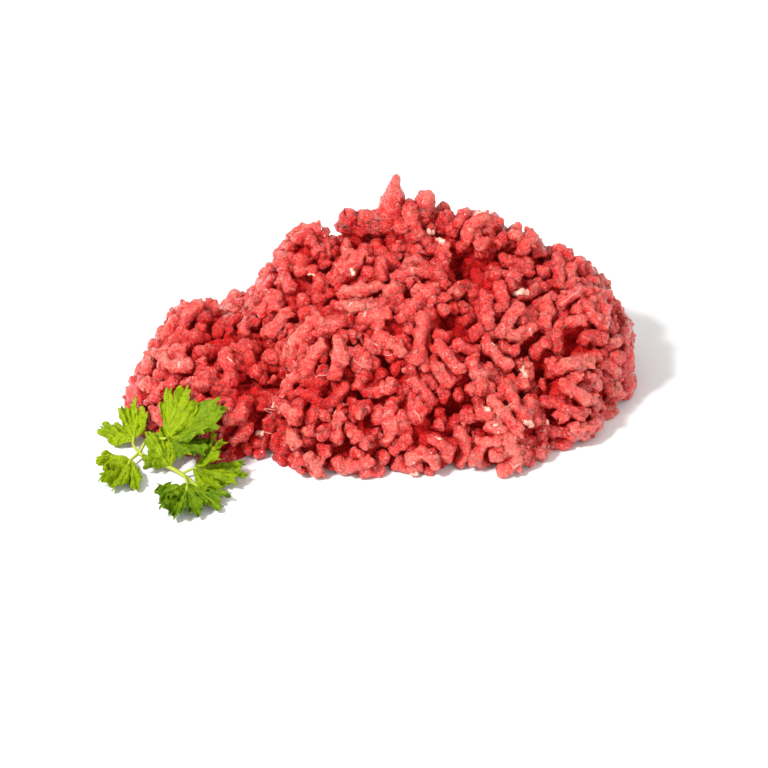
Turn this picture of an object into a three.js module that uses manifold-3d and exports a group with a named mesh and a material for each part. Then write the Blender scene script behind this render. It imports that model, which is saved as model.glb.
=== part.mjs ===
// A heap of fresh minced meat with a sprig of curly parsley lying against its front left foot.
// Millimetres, +Z up. The origin is the middle of the heap's flat underside, on the surface it lies on.
// +X runs along the heap's length to the right and +Y runs to its back.

import * as THREE from "three";
import { mergeVertices } from "three/addons/utils/BufferGeometryUtils.js";
import Module from "manifold-3d";

const wasm = await Module();
wasm.setup();

// Driving sizes of the meat
const heapHalfLength = 82;
const heapHalfDepth = 53;
const heapHeight = 62;
const coreSectors = 42;
const coreRings = 10;
const coreSwell = 0.8;
const creaseWidth = 2.2;
const strandRadius = 2.3;
const strandLift = 1.9;
const strandSides = 5;
const strandStep = 7;
const strandBend = 0.85;
const strandFineness = 0.25;
const tipTaper = 0.55;
const seed = 41;

// Driving sizes of the parsley
const leafThickness = 0.5;
const leafColumns = 6;
const leafRows = 2;
const leafWave = 0.9;
const leafFineness = 0.08;
const toothDepth = 0.2;
const stemRadius = 0.65;
const leafClearance = 4.4;
const floorClearance = 0.5;

// The clumps that the heap is made of, each half of an ellipsoid that stands on the floor:
// [middle x, middle y, half length, half depth, height]
const clumps = {
  mound: [9, 3, 54, 47, 45],
  leftLobe: [-53, -9, 26, 28, 26],
  rightMound: [46, 6, 30, 34, 36],
  crown: [7, 13, 13, 12, 61],
  crownRight: [19, 13, 9, 10, 56],
  backCurl: [-9, 13, 9, 9, 56],
  leftShoulder: [-24, 12, 15, 15, 49],
  leftFlank: [-30, 4, 14, 20, 41],
  rightShoulder: [29, 12, 13, 13, 55],
  rightBrow: [43, 12, 11, 12, 49],
  rightBack: [57, 13, 13, 14, 41],
  rightEnd: [64, 4, 14, 17, 27],
  leftBackBump: [-61, 4, 11, 11, 28],
  leftEnd: [-68, -10, 11, 15, 17],
  leftToe: [-50, -30, 15, 12, 21],
  frontLeft: [-24, -37, 11, 13, 24],
  frontInnerLeft: [-8, -38, 9, 12, 20],
  frontMiddle: [12, -38, 14, 12, 20],
  frontRight: [36, -37, 12, 12, 21],
  frontCorner: [54, -24, 12, 13, 22],
  faceLeft: [-6, -2, 15, 15, 49],
  faceMiddle: [14, -12, 13, 14, 44],
  faceRight: [34, -8, 14, 15, 44],
  lowFaceLeft: [-16, -22, 12, 14, 37],
  lowFaceRight: [22, -26, 12, 11, 35],
  rightFold: [60, -4, 14, 15, 35],
  backLeft: [-42, 20, 18, 18, 19],
  backInnerLeft: [-16, 34, 20, 18, 28],
  backInnerRight: [18, 36, 20, 17, 30],
  backRight: [46, 30, 19, 18, 26],
};

// The gaps and valleys between the clumps: [x, y, z, radius, depth]
const hollows = {
  besideCrown: [26, -4, 43, 6, 9],
  overLeftLobe: [-54, -9, 26, 8, 5],
  leftValley: [-42, -28, 19, 8, 7],
  leftNotch: [-39, -41, 8, 7, 8],
  underLeftShoulder: [-18, -9, 38, 6, 4],
  overFrontLeft: [-23, -36, 24, 6, 6],
  faceGap: [0, -32, 29, 4, 5],
  faceGapLow: [-7, -38, 21, 4, 5],
  middleGap: [19, -41, 19, 5, 6],
  middleGapHigh: [20, -25, 37, 5, 5],
  foldGap: [50, -29, 22, 4, 5],
  foldGapHigh: [55, -20, 28, 4, 6],
  foldGapLow: [51, -35, 15, 4, 4],
};

// Strands that stand out of the heap's crest: [root, tip, radius at the root]
const standingStrands = {
  peak: [[2, 14, 54], [4, 13, 72], 4.4],
  peakShoulder: [[9, 13, 54], [11, 14, 67], 3.6],
  peakSide: [[14, 12, 52], [16, 12, 61], 2.6],
  backCurlTop: [[-12, 13, 52], [-7, 14, 60], 2.8],
  browNub: [[41, 12, 44], [43, 12, 56], 2.0],
  rightNub: [[64, 10, 28], [69, 11, 37], 2.4],
  leftNub: [[-31, 12, 40], [-37, 13, 43], 2.4],
  crownNub: [[-2, 13, 52], [-1, 13, 61], 3.0],
  leftBackNub: [[-62, 3, 24], [-66, 4, 31], 2.6],
};

// How many strands lie on the heap, the largest first: [count, shortest, longest]
const strandSizes = [
  [38, 17, 24],
  [52, 10, 15],
  [30, 5, 8],
];

// The parsley's stems, each through three points, and its leaflets, each from its foot to its tip with its
// half spread in degrees
const stems = {
  main: [[-57, -60, 1.6], [-65, -50, 2.2], [-78, -40, 2.4]],
  toUpperLeaf: [[-78, -40, 2.4], [-76, -36, 5.5], [-66, -42, 10]],
  toLeftLeaf: [[-78, -40, 2.4], [-80, -36, 3], [-80, -31, 3.5]],
  toLowLeftLeaf: [[-78, -40, 2.4], [-80, -43, 2.4], [-81, -46, 2.4]],
  toRightLeaf: [[-64, -51, 2.2], [-60, -50, 3.4], [-56, -51, 4]],
  toFrontLeaf: [[-63, -52, 2.2], [-62, -57, 3], [-62, -62, 2.6]],
};
const leaflets = [
  { foot: [-68, -41, 9], tip: [-62, -33, 23], spread: 34 },
  { foot: [-67, -42, 9], tip: [-49, -45, 19], spread: 26 },
  { foot: [-67, -43, 9], tip: [-56, -51, 11], spread: 22 },
  { foot: [-80, -33, 3], tip: [-78, -21, 10], spread: 40 },
  { foot: [-79, -34, 3], tip: [-91, -27, 3], spread: 30 },
  { foot: [-80, -43, 2.4], tip: [-91, -47, 3], spread: 34 },
  { foot: [-80, -43, 2.4], tip: [-84, -60, 1.8], spread: 34 },
  { foot: [-68, -48, 2.4], tip: [-70, -35, 10], spread: 38 },
  { foot: [-68, -47, 2.4], tip: [-77, -46, 4], spread: 32 },
  { foot: [-60, -50, 3.4], tip: [-50, -49, 13], spread: 34 },
  { foot: [-60, -50, 3.4], tip: [-43, -54, 4], spread: 26 },
  { foot: [-60, -51, 3.4], tip: [-51, -62, 2], spread: 28 },
  { foot: [-62, -58, 3], tip: [-71, -65, 3], spread: 34 },
  { foot: [-62, -59, 2.8], tip: [-64, -77, 1.8], spread: 34 },
  { foot: [-62, -58, 2.8], tip: [-51, -70, 2.6], spread: 34 },
];

// One seeded draw after another, each from 0 to 1
function makeDraws(start) {
  let state = start >>> 0;
  return () => {
    state = (state + 0x6d2b79f5) >>> 0;
    let t = Math.imul(state ^ (state >>> 15), 1 | state);
    t = (t + Math.imul(t ^ (t >>> 7), 61 | t)) ^ t;
    return ((t ^ (t >>> 14)) >>> 0) / 4294967296;
  };
}

// The distance from a point to the heap's bare core, negative inside it
function distanceToCore(p) {
  let nearest = Infinity;
  const distances = Object.values(clumps).map(([x, y, rx, ry, rz]) => {
    const [ux, uy, uz] = [(p.x - x) / rx, (p.y - y) / ry, p.z / rz];
    const share = Math.hypot(ux, uy, uz);
    const slope = Math.max(Math.hypot(ux / rx, uy / ry, uz / rz), 1e-6);
    const distance = (share * (share - 1)) / slope;
    nearest = Math.min(nearest, distance);
    return distance;
  });
  const total = distances.reduce((sum, d) => sum + Math.exp((nearest - d) / creaseWidth), 0);
  let distance = nearest - creaseWidth * Math.log(total);
  for (const [x, y, z, radius, depth] of Object.values(hollows)) {
    const away = ((p.x - x) ** 2 + (p.y - y) ** 2 + (p.z - z) ** 2) / radius ** 2;
    distance += depth * Math.exp(-away);
  }
  return distance;
}

// The direction straight out of the core at a point
function outward(p) {
  const step = 0.2;
  const slope = (axis) => {
    const [ahead, behind] = [p.clone(), p.clone()];
    ahead[axis] += step;
    behind[axis] -= step;
    return distanceToCore(ahead) - distanceToCore(behind);
  };
  return new THREE.Vector3(slope("x"), slope("y"), slope("z")).normalize();
}

// Moves a point straight out of the core until it lies at a given distance from it
function atDistance(p, wanted) {
  const moved = p.clone();
  for (let i = 0; i < 3; i++) {
    moved.addScaledVector(outward(moved), wanted - distanceToCore(moved));
  }
  return moved;
}

// Where a ray from the middle of the underside leaves the core, swollen by a little
function coreAlong(direction, swell = 0) {
  const point = new THREE.Vector3();
  let outer = heapHalfLength + heapHeight;
  while (distanceToCore(point.copy(direction).multiplyScalar(outer)) > swell) outer -= 1;
  let inner = outer;
  outer += 1;
  for (let i = 0; i < 12; i++) {
    const middle = (inner + outer) / 2;
    if (distanceToCore(point.copy(direction).multiplyScalar(middle)) > swell) outer = middle;
    else inner = middle;
  }
  return point.copy(direction).multiplyScalar(inner);
}

// A direction from the middle of the underside, spread as on a dome of the heap's proportions
function domeDirection(turn, rise) {
  return new THREE.Vector3(
    heapHalfLength * Math.cos(rise) * Math.cos(turn),
    heapHalfDepth * Math.cos(rise) * Math.sin(turn),
    heapHeight * Math.sin(rise),
  ).normalize();
}

function geometryOf(points, faces) {
  const geometry = new THREE.BufferGeometry();
  const coordinates = points.flatMap((p) => [p.x, p.y, p.z]);
  geometry.setAttribute("position", new THREE.Float32BufferAttribute(coordinates, 3));
  geometry.setIndex(faces.flat());
  return geometry;
}

function solidOf(geometry) {
  const bare = geometry.clone();
  bare.deleteAttribute("normal");
  bare.deleteAttribute("uv");
  const merged = mergeVertices(bare, 1e-3);
  return new wasm.Manifold(
    new wasm.Mesh({
      numProp: 3,
      vertProperties: new Float32Array(merged.attributes.position.array),
      triVerts: new Uint32Array(merged.index.array),
    }),
  );
}

function geometryOfSolid(solid) {
  const made = solid.getMesh();
  const geometry = new THREE.BufferGeometry();
  geometry.setAttribute("position", new THREE.BufferAttribute(new Float32Array(made.vertProperties), 3));
  geometry.setIndex(new THREE.BufferAttribute(new Uint32Array(made.triVerts), 1));
  return geometry;
}

// The bare core: rings of points from the floor up to the crest, closed by a flat underside
function coreGeometry() {
  const [sectors, rings] = [coreSectors, coreRings];
  const points = [];
  const faces = [];
  for (let ring = 0; ring < rings; ring++) {
    for (let sector = 0; sector < sectors; sector++) {
      const turn = (2 * Math.PI * (sector + (ring % 2) / 2)) / sectors;
      points.push(coreAlong(domeDirection(turn, (0.5 * Math.PI * ring) / rings), coreSwell));
    }
  }
  const top = points.push(coreAlong(new THREE.Vector3(0, 0, 1), coreSwell)) - 1;
  const middle = points.push(new THREE.Vector3(0, 0, 0)) - 1;
  for (let sector = 0; sector < sectors; sector++) {
    const next = (sector + 1) % sectors;
    faces.push([middle, next, sector]);
    for (let ring = 0; ring < rings - 1; ring++) {
      const [low, high] = [ring * sectors, (ring + 1) * sectors];
      const [a, b, c, d] = [low + sector, low + next, high + next, high + sector];
      faces.push(...(ring % 2 ? [[a, b, c], [a, c, d]] : [[a, b, d], [b, c, d]]));
    }
    faces.push([(rings - 1) * sectors + sector, (rings - 1) * sectors + next, top]);
  }
  return geometryOf(points, faces);
}

// A capsule bent along a path, with a few lumps
// facing gives the side that looks outwards, and taper thins the far end
function strandGeometry(path, facing, radius, draw, taper = 0) {
  const reach = 4;
  const bends = Math.max(1, Math.round(path.getLength() / strandStep));
  const geometry = new THREE.CapsuleGeometry(1, 2 * reach, 1, strandSides, bends);
  const position = geometry.attributes.position;
  const turn = draw() * Math.PI;
  const lump = 0.1 + 0.08 * draw();
  const roundness = Math.sqrt((2 * Math.PI) / (strandSides * Math.sin((2 * Math.PI) / strandSides)));
  for (let i = 0; i < position.count; i++) {
    const share = THREE.MathUtils.clamp((position.getY(i) + reach + 1) / (2 * reach + 2), 0, 1);
    const along = path.getTangent(share);
    const out = facing(share).addScaledVector(along, -facing(share).dot(along)).normalize();
    const side = new THREE.Vector3().crossVectors(along, out);
    const wide = roundness * radius * (1 + lump * Math.sin(9 * share + turn)) * (1 - taper * share);
    const point = path.getPoint(share);
    point.addScaledVector(side, wide * position.getX(i)).addScaledVector(out, wide * position.getZ(i));
    position.setXYZ(i, point.x, point.y, point.z);
  }
  return geometry;
}

// A strand that lies on the core, starting at a point and wandering over the surface
function lyingStrand(start, length, radius, draw) {
  const steps = 4;
  const lowest = 0.55 * radius;
  const spot = atDistance(start, strandLift);
  const along = new THREE.Vector3(draw() - 0.5, draw() - 0.5, draw() - 0.5);
  const bend = (2 * draw() - 1) * strandBend;
  const points = [];
  const normals = [];
  for (let i = 0; i <= steps; i++) {
    const out = outward(spot);
    points.push(new THREE.Vector3(spot.x, spot.y, Math.max(spot.z, lowest)));
    normals.push(out);
    along.addScaledVector(out, -along.dot(out)).normalize().applyAxisAngle(out, bend);
    spot.copy(atDistance(spot.clone().addScaledVector(along, length / steps), strandLift));
    spot.z = Math.max(spot.z, lowest);
  }
  const facing = (share) => normals[Math.round(share * steps)].clone();
  return strandGeometry(new THREE.CatmullRomCurve3(points), facing, radius, draw);
}

// Points spread evenly over the heap, as the seeds on a sunflower head
function* spreadPoints(count, offset) {
  const goldenTurn = Math.PI * (3 - Math.sqrt(5));
  for (let i = 0; i < count; i++) {
    yield coreAlong(domeDirection(goldenTurn * i + offset, Math.asin((i + 0.5) / count)));
  }
}

// The heap: its core with the strands fused on, cut flat where it lies on the floor
function mincedMeat() {
  const draw = makeDraws(seed);
  const pieces = [solidOf(coreGeometry())];
  for (const [index, [count, shortest, longest]] of strandSizes.entries()) {
    for (const start of spreadPoints(count, 1.7 * index)) {
      const length = shortest + (longest - shortest) * draw();
      const radius = strandRadius * (0.9 + 0.2 * draw());
      pieces.push(solidOf(lyingStrand(start, length, radius, draw)));
    }
  }
  for (const [root, tip, radius] of Object.values(standingStrands)) {
    const path = new THREE.LineCurve3(new THREE.Vector3(...root), new THREE.Vector3(...tip));
    const facing = () => new THREE.Vector3(0, -1, 0);
    pieces.push(solidOf(strandGeometry(path, facing, radius, draw, tipTaper)));
  }
  const room = 2 * (heapHalfLength + heapHeight);
  const aboveFloor = solidOf(new THREE.BoxGeometry(room, room, room).translate(0, 0, room / 2));
  return largestBody(wasm.Manifold.union(pieces).intersect(aboveFloor).simplify(strandFineness));
}

// The outer skin of the largest piece, without loose scraps and sealed pockets
function largestBody(solid) {
  const rounded = solidOf(geometryOfSolid(solid));
  return geometryOfSolid(rounded.decompose().reduce((a, b) => (a.volume() > b.volume() ? a : b)));
}

// Keeps a point of the parsley clear of the meat and of the floor
function clearOfMeat(p) {
  const short = leafClearance - distanceToCore(p);
  const moved = short > 0 ? atDistance(p, leafClearance) : p.clone();
  moved.z = Math.max(moved.z, floorClearance + leafThickness / 2);
  return moved;
}

// A leaflet: a thin, wavy, toothed fan that opens from its foot to its tip
function leafletGeometry({ foot, tip, spread }, draw) {
  const [columns, rows] = [leafColumns, leafRows];
  const from = new THREE.Vector3(...foot);
  const reach = new THREE.Vector3(...tip).sub(from);
  const middle = from.clone().addScaledVector(reach, 0.6);
  const leans = distanceToCore(middle) < 1.6 * leafClearance;
  const facing = leans ? outward(middle) : new THREE.Vector3(0, 0, 1);
  const side = new THREE.Vector3().crossVectors(facing, reach).normalize();
  const up = new THREE.Vector3().crossVectors(reach, side).normalize();
  const phase = 2 * Math.PI * draw();
  const wave = leafWave * (0.8 + 0.5 * draw());
  const sheet = [clearOfMeat(from)];
  for (let row = 1; row <= rows; row++) {
    for (let column = 0; column <= columns; column++) {
      const angle = THREE.MathUtils.degToRad(spread) * ((2 * column) / columns - 1);
      const tooth = row === rows && column % 2 ? 1 - toothDepth : 1;
      const far = (row / rows) * tooth * (0.72 + 0.28 * Math.cos(1.5 * angle));
      const lift = wave * (row / rows) * Math.sin(2.4 * column + phase + row);
      const point = from.clone().addScaledVector(reach, far * Math.cos(angle));
      point.addScaledVector(side, far * reach.length() * Math.sin(angle)).addScaledVector(up, lift);
      sheet.push(clearOfMeat(point));
    }
  }
  const count = sheet.length;
  const at = (row, column) => (row === 0 ? 0 : 1 + (row - 1) * (columns + 1) + column);
  const faces = [];
  const addBoth = (a, b, c) => faces.push([a, b, c], [a + count, c + count, b + count]);
  const addRim = (a, b) => faces.push([a, a + count, b + count], [a, b + count, b]);
  for (let column = 0; column < columns; column++) {
    addBoth(0, at(1, column), at(1, column + 1));
    for (let row = 1; row < rows; row++) {
      addBoth(at(row, column), at(row + 1, column), at(row + 1, column + 1));
      addBoth(at(row, column), at(row + 1, column + 1), at(row, column + 1));
    }
    addRim(at(rows, column), at(rows, column + 1));
  }
  for (let row = 0; row < rows; row++) {
    addRim(at(row, 0), at(row + 1, 0));
    addRim(at(row + 1, columns), at(row, columns));
  }
  const half = up.clone().multiplyScalar(leafThickness / 2);
  const above = sheet.map((p) => p.clone().add(half));
  const below = sheet.map((p) => p.clone().sub(half));
  return geometryOf([...above, ...below], faces);
}

function stemGeometry(points) {
  const path = new THREE.CatmullRomCurve3(points.map((p) => clearOfMeat(new THREE.Vector3(...p))));
  const section = new THREE.Shape().absarc(0, 0, stemRadius, 0, 2 * Math.PI);
  return new THREE.ExtrudeGeometry(section, { extrudePath: path, steps: 4, curveSegments: 3 });
}

// The sprig: stems and leaflets grown together into one piece
function parsleySprig() {
  const draw = makeDraws(seed + 1);
  const pieces = [
    ...Object.values(stems).map((points) => solidOf(stemGeometry(points))),
    ...leaflets.map((leaflet) => solidOf(leafletGeometry(leaflet, draw))),
  ];
  const joined = wasm.Manifold.union(pieces).simplify(leafFineness);
  return largestBody(joined.translate(0, 0, -joined.boundingBox().min[2]));
}

function named(name, geometry, look) {
  const mesh = new THREE.Mesh(geometry, new THREE.MeshStandardMaterial(look));
  mesh.name = name;
  return mesh;
}

const heap = new THREE.Group();
heap.add(
  named("minced_meat", mincedMeat(), { color: 0xc23a3c, roughness: 0.35, metalness: 0 }),
  named("parsley_sprig", parsleySprig(), { color: 0x7fb51a, roughness: 0.5, metalness: 0 }),
);

export default heap;
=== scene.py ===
import math
import bmesh
import bpy
import numpy as np
from mathutils import Matrix, Vector
from mathutils.bvhtree import BVHTree


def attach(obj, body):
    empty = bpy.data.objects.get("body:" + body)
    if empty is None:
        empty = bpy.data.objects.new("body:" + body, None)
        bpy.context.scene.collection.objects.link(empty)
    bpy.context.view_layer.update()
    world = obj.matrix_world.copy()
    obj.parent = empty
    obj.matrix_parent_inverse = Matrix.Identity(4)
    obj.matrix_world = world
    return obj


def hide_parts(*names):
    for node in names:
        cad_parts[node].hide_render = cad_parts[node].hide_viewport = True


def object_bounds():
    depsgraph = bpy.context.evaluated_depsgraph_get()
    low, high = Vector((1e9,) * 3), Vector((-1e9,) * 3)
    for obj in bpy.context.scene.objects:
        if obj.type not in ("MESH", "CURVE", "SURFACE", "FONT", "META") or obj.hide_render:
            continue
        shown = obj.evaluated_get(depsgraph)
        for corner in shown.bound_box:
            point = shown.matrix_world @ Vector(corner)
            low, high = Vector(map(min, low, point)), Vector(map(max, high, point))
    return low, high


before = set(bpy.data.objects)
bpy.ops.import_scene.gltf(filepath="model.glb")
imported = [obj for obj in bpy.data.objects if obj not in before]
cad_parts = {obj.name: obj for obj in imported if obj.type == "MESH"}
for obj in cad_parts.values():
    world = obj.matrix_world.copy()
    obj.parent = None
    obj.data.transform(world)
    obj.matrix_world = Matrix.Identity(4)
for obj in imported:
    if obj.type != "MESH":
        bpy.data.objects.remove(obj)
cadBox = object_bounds()
mm = 0.001
print("frame loaded, CAD box", [round(v, 4) for corner in cadBox for v in corner])


# Camera, at the angle of the photograph

cameraSettings = {
    "imageSize": 768,  # pixels, square
    "lens": 136.98,  # mm
    "sensor": 36.0,  # mm
    "eye": (-0.9, -795.0, 519.1),  # mm from the middle of the heap's underside
    "lookDown": 33.1,  # degrees
    "roll": -0.89,
    "clipStart": 0.05,  # m
    "heapReach": (850, 1050),  # mm from the eye between which the heap lies
}


def cameraAxes():
    pitch = math.radians(cameraSettings["lookDown"])
    roll = math.radians(cameraSettings["roll"])
    forward = Vector((0, math.cos(pitch), -math.sin(pitch)))
    level = Vector((1, 0, 0))
    right = level * math.cos(roll) + level.cross(forward) * math.sin(roll)
    return right, right.cross(forward), forward


def makeCamera():
    data = bpy.data.cameras.new("camera")
    data.lens = cameraSettings["lens"]
    data.sensor_width = cameraSettings["sensor"]
    data.clip_start = cameraSettings["clipStart"]
    camera = bpy.data.objects.new("camera", data)
    right, up, forward = cameraAxes()
    turn = Matrix((right, up, -forward)).transposed().to_4x4()
    camera.matrix_world = Matrix.Translation(Vector(cameraSettings["eye"]) * mm) @ turn
    bpy.context.collection.objects.link(camera)
    bpy.context.scene.camera = camera


def pixelRay(px, py):
    right, up, forward = cameraAxes()
    focal = cameraSettings["lens"] / cameraSettings["sensor"] * cameraSettings["imageSize"]
    middle = cameraSettings["imageSize"] / 2
    ray = forward + right * ((px - middle) / focal) - up * ((py - middle) / focal)
    return np.array(cameraSettings["eye"]), np.array(ray.normalized())


# The heap's form: clumps that stand on the floor, melted together, with hollows pressed in, all in mm

creaseWidth = 2.2
heapHalf = (82.0, 53.0, 62.0)
farOut = 110.0  # beyond the heap's ends
searchSteps = {"ray": 60, "halving": 9, "pixel": 400}

clumps = {  # middle x, middle y, half length, half depth, height
    "mound": (9, 3, 54, 47, 45),
    "leftLobe": (-53, -9, 26, 28, 26),
    "rightMound": (46, 6, 30, 34, 36),
    "crown": (7, 13, 13, 12, 61),
    "crownRight": (19, 13, 9, 10, 56),
    "backCurl": (-9, 13, 9, 9, 56),
    "leftShoulder": (-24, 12, 15, 15, 49),
    "leftFlank": (-30, 4, 14, 20, 41),
    "rightShoulder": (29, 12, 13, 13, 55),
    "rightBrow": (43, 12, 11, 12, 49),
    "rightBack": (57, 13, 13, 14, 41),
    "rightEnd": (64, 4, 14, 17, 27),
    "leftBackBump": (-61, 4, 11, 11, 28),
    "leftEnd": (-68, -10, 11, 15, 17),
    "leftToe": (-50, -30, 15, 12, 21),
    "frontLeft": (-24, -37, 11, 13, 24),
    "frontInnerLeft": (-8, -38, 9, 12, 20),
    "frontMiddle": (12, -38, 14, 12, 20),
    "frontRight": (36, -37, 12, 12, 21),
    "frontCorner": (54, -24, 12, 13, 22),
    "faceLeft": (-6, -2, 15, 15, 49),
    "faceMiddle": (14, -12, 13, 14, 44),
    "faceRight": (34, -8, 14, 15, 44),
    "lowFaceLeft": (-16, -22, 12, 14, 37),
    "lowFaceRight": (22, -26, 12, 11, 35),
    "rightFold": (60, -4, 14, 15, 35),
    "backLeft": (-42, 20, 18, 18, 19),
    "backInnerLeft": (-16, 34, 20, 18, 28),
    "backInnerRight": (18, 36, 20, 17, 30),
    "backRight": (46, 30, 19, 18, 26),
}

hollows = {  # x, y, z, radius, depth
    "besideCrown": (26, -4, 43, 6, 9),
    "overLeftLobe": (-54, -9, 26, 8, 5),
    "leftValley": (-42, -28, 19, 8, 5),
    "leftNotch": (-39, -41, 8, 7, 8),
    "underLeftShoulder": (-18, -9, 38, 6, 4),
    "overFrontLeft": (-23, -36, 24, 6, 6),
    "faceGap": (0, -32, 29, 4, 5),
    "faceGapLow": (-7, -38, 21, 4, 5),
    "middleGap": (19, -41, 19, 5, 6),
    "middleGapHigh": (20, -25, 37, 5, 5),
    "foldGap": (50, -29, 22, 4, 5),
    "foldGapHigh": (55, -20, 28, 4, 6),
    "foldGapLow": (51, -35, 15, 4, 4),
}

clumpRows = np.array(list(clumps.values()), float)
clumpMiddles = clumpRows[:, :2] @ np.eye(2, 3)
clumpRadii = clumpRows[:, 2:]
hollowRows = np.array(list(hollows.values()), float)


def distanceToClumps(points):
    away = points[:, None, :] - clumpMiddles
    share = np.linalg.norm(away / clumpRadii, axis=2)
    slope = np.maximum(np.linalg.norm(away / clumpRadii**2, axis=2), 1e-6)
    each = share * (share - 1) / slope
    nearest = each.min(1)
    return nearest - creaseWidth * np.log(np.exp((nearest[:, None] - each) / creaseWidth).sum(1))


def distanceToForm(points):
    gap = ((points[:, None, :] - hollowRows[:, :3]) ** 2).sum(2) / hollowRows[:, 3] ** 2
    return distanceToClumps(points) + (hollowRows[:, 4] * np.exp(-gap)).sum(1)


def outward(points, step=0.25):
    slopes = [
        distanceToForm(points + axis * step) - distanceToForm(points - axis * step)
        for axis in np.eye(3)
    ]
    normals = np.stack(slopes, 1)
    return normals / np.maximum(np.linalg.norm(normals, axis=1, keepdims=True), 1e-9)


def atDistance(points, wanted, rounds=2):
    for _ in range(rounds):
        points = points + outward(points) * (wanted - distanceToForm(points))[:, None]
    return points


def alongRays(rays, wanted):
    inner = np.zeros(len(rays))
    for reach in farOut * np.linspace(1, 0, searchSteps["ray"]):  # the outermost crossing of each ray
        inside = distanceToForm(rays * reach) <= wanted
        inner = np.where(inside & (inner < reach), reach, inner)
    outer = inner + farOut / (searchSteps["ray"] - 1)
    for _ in range(searchSteps["halving"]):
        middle = (inner + outer) / 2
        outside = distanceToForm(rays * middle[:, None]) > wanted
        outer, inner = np.where(outside, middle, outer), np.where(outside, inner, middle)
    return rays * inner[:, None]


def domeRays(turns, rises):
    rays = np.stack([np.cos(rises) * np.cos(turns), np.cos(rises) * np.sin(turns), np.sin(rises)], 1)
    rays = rays * heapHalf
    return rays / np.linalg.norm(rays, axis=1, keepdims=True)


def fromPixels(spots, wanted):
    eye, rays = zip(*[pixelRay(px, py) for px, py in spots])
    eye, rays = np.array(eye), np.array(rays)
    reach = np.linspace(*cameraSettings["heapReach"], searchSteps["pixel"])
    hits = []
    for start, ray in zip(eye, rays):
        line = start + reach[:, None] * ray
        inside = np.nonzero(distanceToForm(line) < wanted)[0]
        hits.append(line[inside[0]] if len(inside) else line[np.argmin(distanceToForm(line))])
    return np.array(hits)


# Node helpers

def addNode(tree, kind, values=None, **settings):
    made = tree.nodes.new(kind)
    for key, value in settings.items():
        setattr(made, key, value)
    for key, value in (values or {}).items():
        if isinstance(value, bpy.types.NodeSocket):
            tree.links.new(value, made.inputs[key])
        else:
            made.inputs[key].default_value = value
    return made


def math2(tree, operation, first, second=0.0, **settings):
    return addNode(tree, "ShaderNodeMath", {0: first, 1: second}, operation=operation, **settings).outputs[0]


def noiseAt(tree, where, scale, **more):
    return addNode(tree, "ShaderNodeTexNoise", {"Vector": where, "Scale": scale, **more}).outputs[0]


def fade(tree, value, low, high, top=1.0):
    span = {"Value": value, "From Min": low, "From Max": high, "To Max": top}
    return addNode(tree, "ShaderNodeMapRange", span).outputs[0]


def mixColors(tree, share, first, second):
    values = {"Factor": share, "A": first, "B": second}
    return addNode(tree, "ShaderNodeMix", values, data_type="RGBA").outputs["Result"]


def bumpOf(tree, height, distance):
    return addNode(tree, "ShaderNodeBump", {"Height": height, "Distance": distance}).outputs[0]


def newMaterial(name, values):
    material = bpy.data.materials.new(name)
    material.use_nodes = True
    shader = material.node_tree.nodes["Principled BSDF"]
    for label, value in values.items():
        shader.inputs[label].default_value = value
    return material, material.node_tree, shader.inputs


def newGeometryTree(name, sizes):
    tree = bpy.data.node_groups.new(name, "GeometryNodeTree")
    tree.interface.new_socket("Geometry", in_out="INPUT", socket_type="NodeSocketGeometry")
    for label, value in sizes.items():
        kind = {int: "NodeSocketInt", float: "NodeSocketFloat"}.get(type(value), "NodeSocketMaterial")
        socket = tree.interface.new_socket(label, in_out="INPUT", socket_type=kind)
        if kind != "NodeSocketMaterial":
            socket.default_value = value
    tree.interface.new_socket("Geometry", in_out="OUTPUT", socket_type="NodeSocketGeometry")
    return tree, tree.nodes.new("NodeGroupInput").outputs, tree.nodes.new("NodeGroupOutput").inputs


def finishTree(tree, outputs, geometry, material):
    smooth = addNode(tree, "GeometryNodeSetShadeSmooth", {"Geometry": geometry}).outputs[0]
    real = addNode(tree, "GeometryNodeRealizeInstances", {"Geometry": smooth}).outputs[0]
    painted = addNode(tree, "GeometryNodeSetMaterial", {"Geometry": real, "Material": material})
    tree.links.new(painted.outputs[0], outputs[0])


def runTree(obj, tree, values):
    modifier = obj.modifiers.new(tree.name, "NODES")
    modifier.node_group = tree
    for item in tree.interface.items_tree:
        if item.item_type == "SOCKET" and item.in_out == "INPUT" and item.name in values:
            modifier[item.identifier] = values[item.name]
    evaluated = obj.evaluated_get(bpy.context.evaluated_depsgraph_get())
    mesh = bpy.data.meshes.new_from_object(evaluated)
    obj.modifiers.remove(modifier)
    mesh.name = obj.name
    obj.data = mesh
    return obj


def newObject(name, points, edges=(), faces=()):
    mesh = bpy.data.meshes.new(name)
    mesh.from_pydata([tuple(p) for p in np.asarray(points) * mm], [tuple(e) for e in edges], faces)
    obj = bpy.data.objects.new(name, mesh)
    bpy.context.collection.objects.link(obj)
    return obj


def giveAttribute(obj, name, values):
    layer = obj.data.attributes.new(name, "FLOAT", "POINT")
    layer.data.foreach_set("value", np.asarray(values, dtype=np.float32))


def meshPoints(obj):
    flat = np.empty(len(obj.data.vertices) * 3, dtype=np.float32)
    obj.data.vertices.foreach_get("co", flat)
    return flat.reshape(-1, 3).astype(float) / mm


def giveDepth(obj, chunk=20000):  # mm out from the clumps, below 0 in the gaps
    points = meshPoints(obj)
    depths = [distanceToClumps(points[i:i + chunk]) for i in range(0, len(points), chunk)]
    giveAttribute(obj, "depth", np.concatenate(depths))


# Raw meat: pinkish red with a fine pale grain, wetter low in the gaps; painted shade makes it deeper red low
# in the gaps and darker in the holes, and painted light makes the strand tops paler pink

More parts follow.
